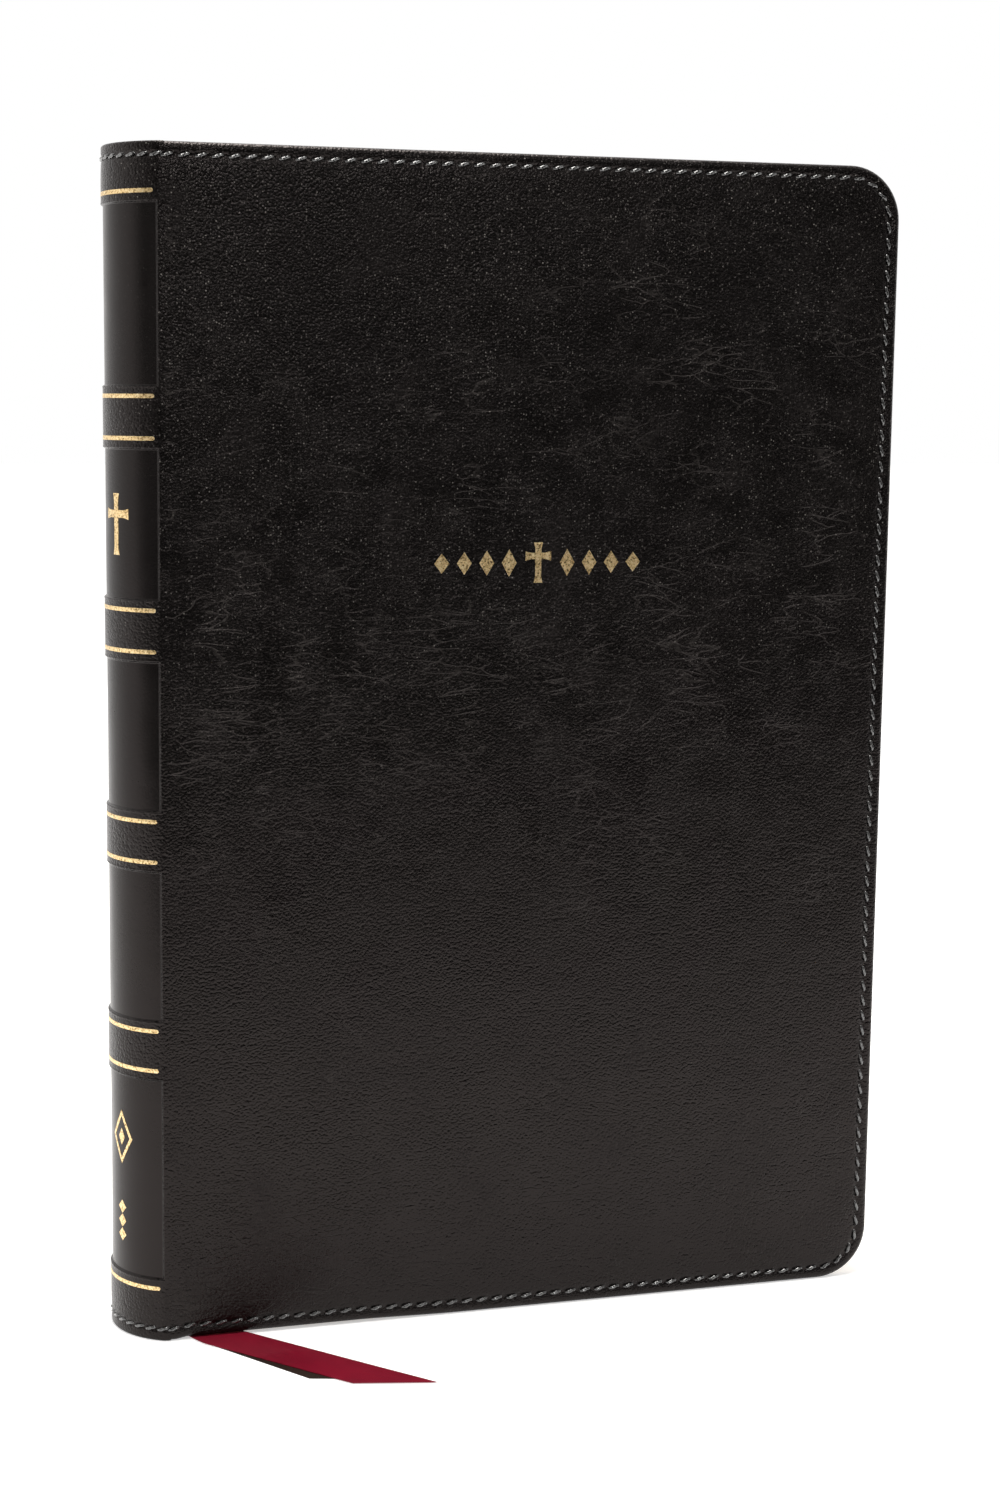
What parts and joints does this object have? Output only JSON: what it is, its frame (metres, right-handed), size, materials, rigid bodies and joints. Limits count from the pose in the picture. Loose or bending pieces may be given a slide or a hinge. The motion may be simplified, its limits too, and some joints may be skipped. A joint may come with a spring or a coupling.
{
  "type": "bible",
  "caption": "Upright closed book with a stitched black leather cover, gold spine rules, a sewn page block that opens at both covers, and satin ribbon markers.",
  "frame": {"origin": "middle of the spine's tail edge, halfway through the leather, on the surface the book stands on", "axes": "+X from the spine to the fore-edge, +Y from the front cover to the back cover, +Z from tail to head"},
  "size_m": [0.1697, 0.0639, 0.246],
  "materials": {
    "cover_leather": "fine pebble grain, satin",
    "lining_leather": "smooth, matt",
    "gold_foil": "stamped foil, glittery",
    "black_thread": "waxed thread",
    "greyboard": "pressed board",
    "kraft_paper": "matt",
    "mull_gauze": "open weave",
    "linen_thread": "twisted",
    "band_cloth": "woven silk",
    "page_paper": "thin, matt",
    "endpaper": "plain, matt",
    "red_satin": "satin ribbon",
    "dark_satin": "satin ribbon"
  },
  "bodies": {
    "spine": {"spine_leather": "cover_leather", "spine_gold_rules": "gold_foil", "spine_gold_marks": "gold_foil", "spine_stitching": "black_thread", "spine_stiffener": "greyboard", "spine_kraft_lining": "kraft_paper", "spine_mull": "mull_gauze", "sewing_threads": "linen_thread", "text_block_spine": "page_paper", "head_band": "band_cloth", "tail_band": "band_cloth", "signature_05": "page_paper", "signature_06": "page_paper", "ribbon_red": "red_satin", "ribbon_dark": "dark_satin"},
    "front_cover": {"front_cover_leather": "cover_leather", "front_board": "greyboard", "front_liner": "lining_leather", "front_pastedown": "endpaper", "front_stitching": "black_thread", "front_gold_mark": "gold_foil"},
    "back_cover": {"back_cover_leather": "cover_leather", "back_board": "greyboard", "back_liner": "lining_leather", "back_pastedown": "endpaper", "back_stitching": "black_thread"},
    "front_flyleaf": {"front_flyleaf": "endpaper"},
    "signature_01": {"signature_01": "page_paper"},
    "signature_02": {"signature_02": "page_paper"},
    "signature_03": {"signature_03": "page_paper"},
    "signature_04": {"signature_04": "page_paper"},
    "signature_07": {"signature_07": "page_paper"},
    "signature_08": {"signature_08": "page_paper"},
    "signature_09": {"signature_09": "page_paper"},
    "signature_10": {"signature_10": "page_paper"},
    "back_flyleaf": {"back_flyleaf": "endpaper"}
  },
  "joints": [
    {"name": "front_cover_hinge", "type": "hinge", "parent": "spine", "child": "front_cover", "pos_m": [0.01115, -0.014, 0.123], "axis": [0, 0, -1], "range_deg": [0, 170]},
    {"name": "back_cover_hinge", "type": "hinge", "parent": "spine", "child": "back_cover", "pos_m": [0.01115, 0.014, 0.123], "axis": [0, 0, 1], "range_deg": [0, 170]},
    {"name": "front_flyleaf_turn", "type": "hinge", "parent": "spine", "child": "front_flyleaf", "pos_m": [0.01525, -0.01115, 0.123], "axis": [0, 0, -1], "range_deg": [0, 122.4]},
    {"name": "signature_01_turn", "type": "hinge", "parent": "spine", "child": "signature_01", "pos_m": [0.01565, -0.01077, 0.123], "axis": [0, 0, -1], "range_deg": [0, 93.5]},
    {"name": "signature_02_turn", "type": "hinge", "parent": "spine", "child": "signature_02", "pos_m": [0.01695, -0.00865, 0.123], "axis": [0, 0, -1], "range_deg": [0, 68]},
    {"name": "signature_03_turn", "type": "hinge", "parent": "spine", "child": "signature_03", "pos_m": [0.01755, -0.00653, 0.123], "axis": [0, 0, -1], "range_deg": [0, 44.2]},
    {"name": "signature_04_turn", "type": "hinge", "parent": "spine", "child": "signature_04", "pos_m": [0.01755, -0.00442, 0.123], "axis": [0, 0, -1], "range_deg": [0, 22.1]},
    {"name": "signature_07_turn", "type": "hinge", "parent": "spine", "child": "signature_07", "pos_m": [0.01755, 0.00442, 0.123], "axis": [0, 0, 1], "range_deg": [0, 22.1]},
    {"name": "signature_08_turn", "type": "hinge", "parent": "spine", "child": "signature_08", "pos_m": [0.01755, 0.00653, 0.123], "axis": [0, 0, 1], "range_deg": [0, 44.2]},
    {"name": "signature_09_turn", "type": "hinge", "parent": "spine", "child": "signature_09", "pos_m": [0.01695, 0.00865, 0.123], "axis": [0, 0, 1], "range_deg": [0, 68]},
    {"name": "signature_10_turn", "type": "hinge", "parent": "spine", "child": "signature_10", "pos_m": [0.01565, 0.01077, 0.123], "axis": [0, 0, 1], "range_deg": [0, 93.5]},
    {"name": "back_flyleaf_turn", "type": "hinge", "parent": "spine", "child": "back_flyleaf", "pos_m": [0.01525, 0.01115, 0.123], "axis": [0, 0, 1], "range_deg": [0, 122.4]}
  ],
  "couplings": [
    {"joint": "front_flyleaf_turn", "follows": "front_cover_hinge", "ratio": 0.72},
    {"joint": "signature_01_turn", "follows": "front_cover_hinge", "ratio": 0.55},
    {"joint": "signature_02_turn", "follows": "front_cover_hinge", "ratio": 0.4},
    {"joint": "signature_03_turn", "follows": "front_cover_hinge", "ratio": 0.26},
    {"joint": "signature_04_turn", "follows": "front_cover_hinge", "ratio": 0.13},
    {"joint": "signature_07_turn", "follows": "back_cover_hinge", "ratio": 0.13},
    {"joint": "signature_08_turn", "follows": "back_cover_hinge", "ratio": 0.26},
    {"joint": "signature_09_turn", "follows": "back_cover_hinge", "ratio": 0.4},
    {"joint": "signature_10_turn", "follows": "back_cover_hinge", "ratio": 0.55},
    {"joint": "back_flyleaf_turn", "follows": "back_cover_hinge", "ratio": 0.72}
  ]
}
